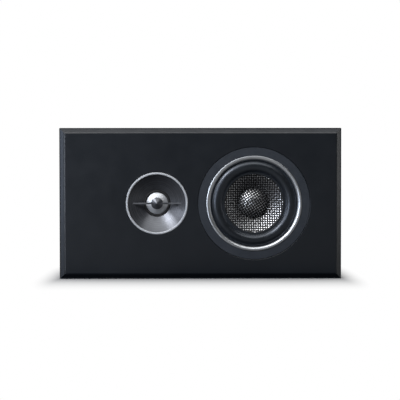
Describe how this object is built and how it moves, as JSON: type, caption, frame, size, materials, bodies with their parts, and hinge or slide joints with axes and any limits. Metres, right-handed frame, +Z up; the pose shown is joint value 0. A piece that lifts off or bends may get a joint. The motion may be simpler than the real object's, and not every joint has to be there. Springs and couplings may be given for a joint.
{
  "type": "on-wall speaker",
  "caption": "Rectangular black on-wall loudspeaker with a bevelled front, a horn-loaded metal dome tweeter and a woven-cone woofer, hung on keyhole plates.",
  "frame": {"origin": "midway between the centres of the two keyhole entries, on the outer face of the rear panel", "axes": "+X to the listener's right along the long side, +Y back to the wall, +Z up"},
  "size_m": [0.34, 0.1034, 0.182],
  "materials": {
    "black_vinyl": "black vinyl wrap over fibreboard",
    "black_lacquer": "satin black lacquer over fibreboard",
    "rear_board": "matt black paint over fibreboard",
    "bezel_plastic": "satin moulded",
    "polished_trim": "polished",
    "satin_aluminium": "satin turned",
    "dome_aluminium": "bright drawn foil",
    "surround_rubber": "satin moulded",
    "seal_foam": "closed-cell foam",
    "bumper_rubber": "matt moulded",
    "woven_fibre": "plain weave of black and silver tows, resin set",
    "cast_frame": "black coated die casting",
    "horn_casting": "dark satin coated casting",
    "plug_plastic": "satin moulded",
    "cup_plastic": "fine spark texture",
    "spider_cloth": "resin-dipped cotton",
    "former_foil": "plain foil",
    "copper_winding": "enamelled copper",
    "plated_steel": "zinc plated",
    "ferrite": "ground ferrite",
    "paxolin": "resin-paper laminate",
    "tinsel_braid": "braided copper tinsel",
    "soft_edge": "coated cloth",
    "board_laminate": "glass-epoxy board",
    "spacer_nylon": "turned nylon",
    "film_wrap": "taped film",
    "can_sleeve": "sleeved can",
    "cement": "cement body",
    "wire_sleeve": "PVC sleeve",
    "wadding": "polyester wadding",
    "gold_plate": "gold plated",
    "black_cap": "moulded",
    "red_cap": "moulded",
    "black_screws": "black zinc"
  },
  "bodies": {
    "cabinet": {"cabinet_wrap": "black_vinyl", "front_baffle": "black_lacquer", "rear_panel": "rear_board", "woofer_bezel": "bezel_plastic", "woofer_trim_ring": "polished_trim", "tweeter_trim_ring": "satin_aluminium", "woofer_surround": "surround_rubber", "woofer_gasket": "seal_foam", "bumper_bottom_left": "bumper_rubber", "bumper_top_left": "bumper_rubber", "bumper_bottom_right": "bumper_rubber", "bumper_top_right": "bumper_rubber", "woofer_basket": "cast_frame", "tweeter_waveguide": "horn_casting", "tweeter_phase_plug": "plug_plastic", "terminal_cup": "cup_plastic", "woofer_spider": "spider_cloth", "woofer_choke": "copper_winding", "tweeter_choke": "copper_winding", "woofer_top_plate": "plated_steel", "woofer_yoke": "plated_steel", "tweeter_top_plate": "plated_steel", "tweeter_yoke": "plated_steel", "hanger_plate_left": "plated_steel", "hanger_plate_right": "plated_steel", "woofer_magnet": "ferrite", "tweeter_magnet": "ferrite", "woofer_tag_strip": "paxolin", "tweeter_tag_strip": "paxolin", "woofer_tinsel_leads": "tinsel_braid", "tweeter_surround": "soft_edge", "crossover_board": "board_laminate", "board_spacers": "spacer_nylon", "film_capacitor": "film_wrap", "can_capacitor": "can_sleeve", "cement_resistor": "cement", "input_wires": "wire_sleeve", "woofer_wires": "wire_sleeve", "tweeter_wires": "wire_sleeve", "damping_pad": "wadding", "binding_post_black": "gold_plate", "binding_post_red": "gold_plate", "lock_nuts": "gold_plate", "solder_tags": "gold_plate", "woofer_screws": "black_screws", "tweeter_screws": "black_screws", "tweeter_plate_screws": "black_screws", "board_screws": "black_screws", "terminal_screws": "black_screws", "hanger_screws": "black_screws"},
    "woofer_moving": {"woofer_cone": "woven_fibre", "woofer_dust_cap": "woven_fibre", "woofer_former": "former_foil", "woofer_voice_coil": "copper_winding"},
    "tweeter_moving": {"tweeter_dome": "dome_aluminium", "tweeter_voice_coil": "copper_winding"},
    "black_clamp": {"clamp_washer_black": "gold_plate"},
    "black_nut": {"thumb_nut_black": "black_cap"},
    "red_clamp": {"clamp_washer_red": "gold_plate"},
    "red_nut": {"thumb_nut_red": "red_cap"}
  },
  "joints": [
    {"name": "woofer_excursion", "type": "slide", "parent": "cabinet", "child": "woofer_moving", "axis": [0, -1, 0], "range_m": [-0.004, 0.004], "stiffness_N_per_m": 1000, "deforming": ["woofer_surround", "woofer_spider", "woofer_tinsel_leads"]},
    {"name": "tweeter_excursion", "type": "slide", "parent": "cabinet", "child": "tweeter_moving", "axis": [0, -1, 0], "range_m": [-0.0004, 0.0004], "stiffness_N_per_m": 150, "deforming": ["tweeter_surround"]},
    {"name": "black_clamp_slide", "type": "slide", "parent": "cabinet", "child": "black_clamp", "axis": [0, 1, 0], "range_m": [0, 0.004]},
    {"name": "black_nut_turn", "type": "hinge", "parent": "black_clamp", "child": "black_nut", "pos_m": [-0.02552, -0.015, -0.08], "axis": [0, 1, 0], "range_deg": [0, 1800]},
    {"name": "red_clamp_slide", "type": "slide", "parent": "cabinet", "child": "red_clamp", "axis": [0, 1, 0], "range_m": [0, 0.004]},
    {"name": "red_nut_turn", "type": "hinge", "parent": "red_clamp", "child": "red_nut", "pos_m": [-0.00647, -0.015, -0.08], "axis": [0, 1, 0], "range_deg": [0, 1800]}
  ],
  "couplings": [
    {"joint": "black_nut_turn", "follows": "black_clamp_slide", "rad_per_m": 7854},
    {"joint": "red_nut_turn", "follows": "red_clamp_slide", "rad_per_m": 7854}
  ]
}
